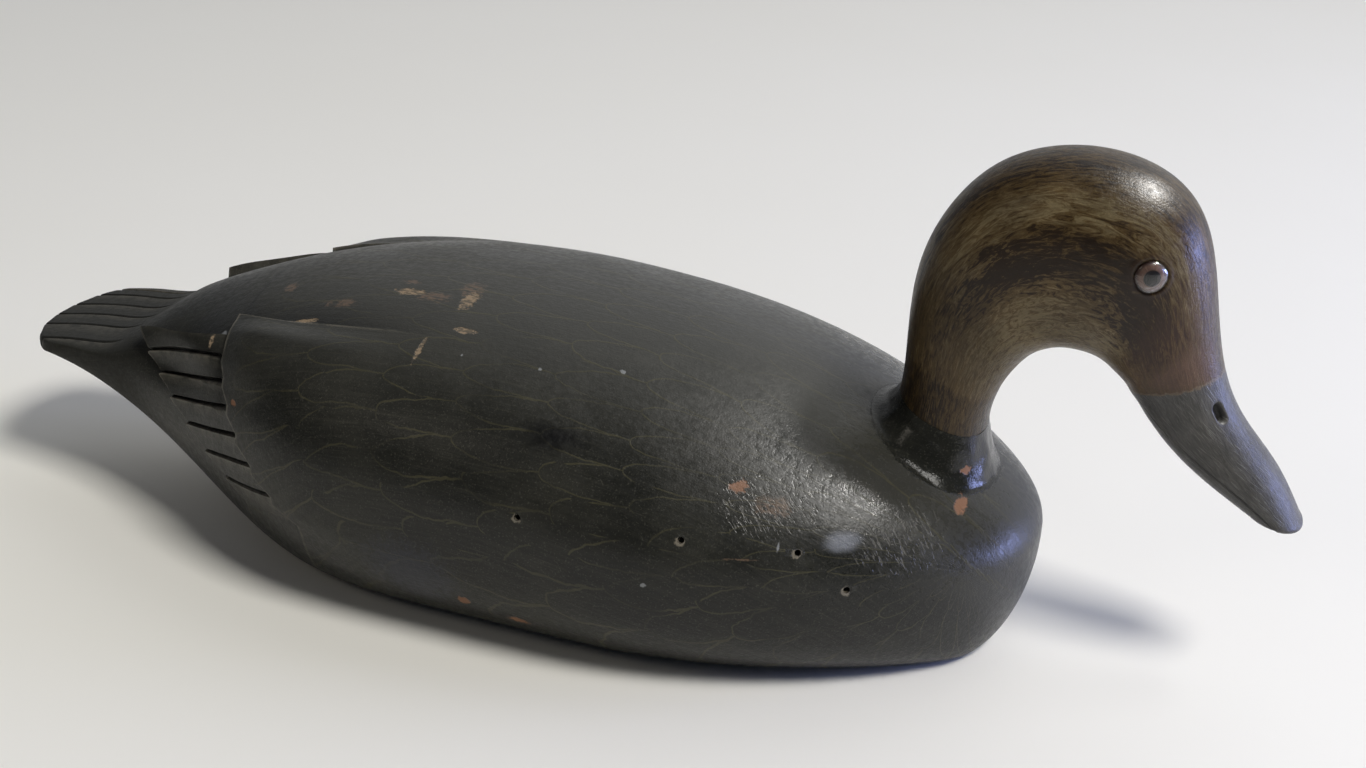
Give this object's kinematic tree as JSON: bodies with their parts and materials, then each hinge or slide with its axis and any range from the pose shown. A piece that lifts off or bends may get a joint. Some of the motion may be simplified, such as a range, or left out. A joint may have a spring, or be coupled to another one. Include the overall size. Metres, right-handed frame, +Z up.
{
  "type": "duck decoy",
  "caption": "Carved and painted wooden duck decoy with a long neck, a flat underside, feather grooves cut in wings and tail, and glass eyes.",
  "frame": {"origin": "on the floor under the middle of the overall length, on the centre line", "axes": "+X from the tail towards the bill, +Y to the duck's left, +Z up"},
  "size_m": [0.484, 0.178, 0.1785],
  "materials": {
    "body_paint": "old charcoal oil paint, satin, with fine olive feather outlines, worn through to the wood in small chips",
    "head_paint": "old dark brown and olive oil paint, satin, streaked by the brush, with a slate grey bill",
    "eye_glass": "polished glass eye, brown iris round a black pupil"
  },
  "bodies": {
    "root": {"body": "body_paint", "head": "head_paint", "eye_left": "eye_glass", "eye_right": "eye_glass"}
  },
  "joints": []
}
